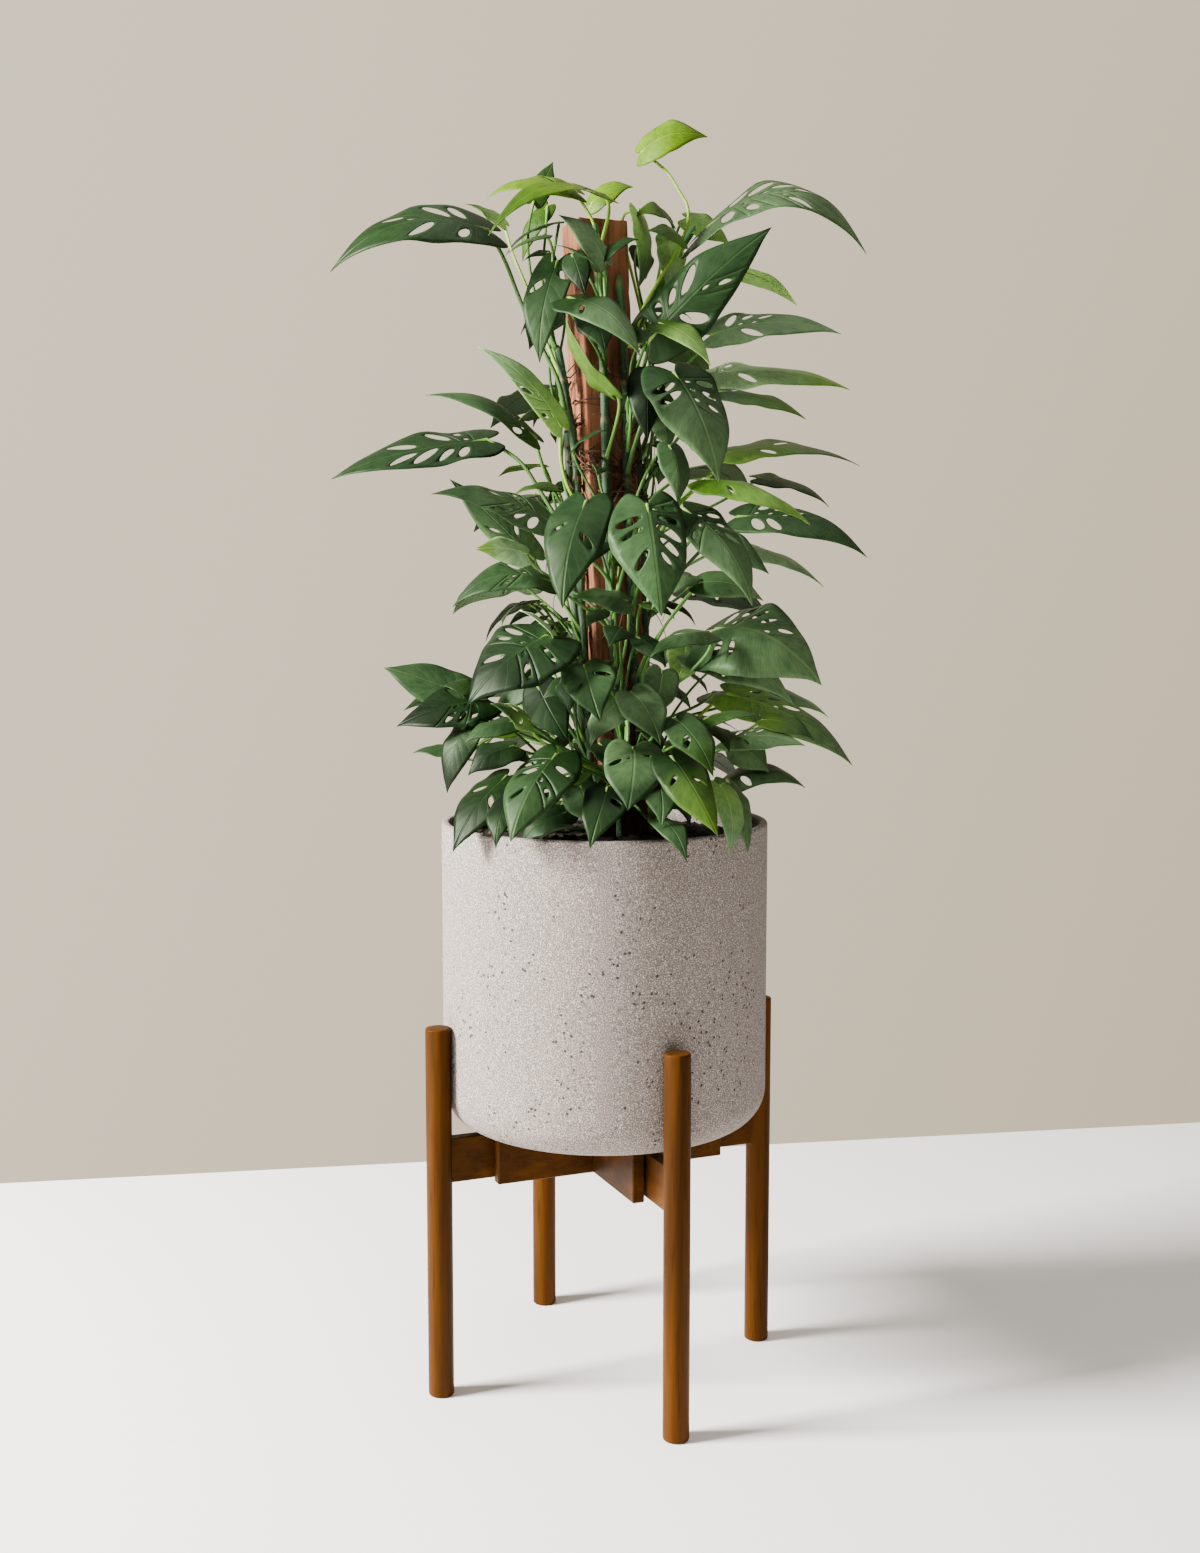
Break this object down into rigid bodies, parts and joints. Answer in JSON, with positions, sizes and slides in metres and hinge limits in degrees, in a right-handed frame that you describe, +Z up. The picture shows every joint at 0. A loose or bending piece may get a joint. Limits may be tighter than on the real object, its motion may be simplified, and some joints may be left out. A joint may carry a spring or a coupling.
{
  "type": "potted monstera adansonii",
  "caption": "Climbing Swiss cheese vine on a square wooden totem, in a round stone-look pot of soil that stands on a four-legged wooden plant stand.",
  "frame": {"origin": "on the floor under the axis of the pot, midway between the four feet", "axes": "+Z up, -Y is the front that the plant is shown from, +X is to the right seen from the front"},
  "size_m": [0.5123, 0.3826, 1.223],
  "materials": {
    "stand_wood": "stained and satin sealed wood",
    "black_steel": "black",
    "pot_stone": "matt pale grey stone cast with pits",
    "soil": "dark crumbly potting mix",
    "totem_wood": "rough sawn cedar",
    "foliage": "satin leaves and stems"
  },
  "bodies": {
    "root": {"leg_1": "stand_wood", "leg_2": "stand_wood", "leg_3": "stand_wood", "leg_4": "stand_wood", "arm_1": "stand_wood", "arm_2": "stand_wood", "arm_3": "stand_wood", "arm_4": "stand_wood", "cross_bar_1": "stand_wood", "cross_bar_2": "stand_wood", "bolt_1": "black_steel", "bolt_2": "black_steel", "bolt_3": "black_steel", "bolt_4": "black_steel", "spacer_1": "black_steel", "spacer_2": "black_steel", "spacer_3": "black_steel", "spacer_4": "black_steel", "nut_1": "black_steel", "nut_2": "black_steel", "nut_3": "black_steel", "nut_4": "black_steel", "pot": "pot_stone", "soil": "soil", "totem_post": "totem_wood", "vine_front": "foliage", "vine_left": "foliage", "vine_right": "foliage", "vine_back": "foliage"}
  },
  "joints": []
}
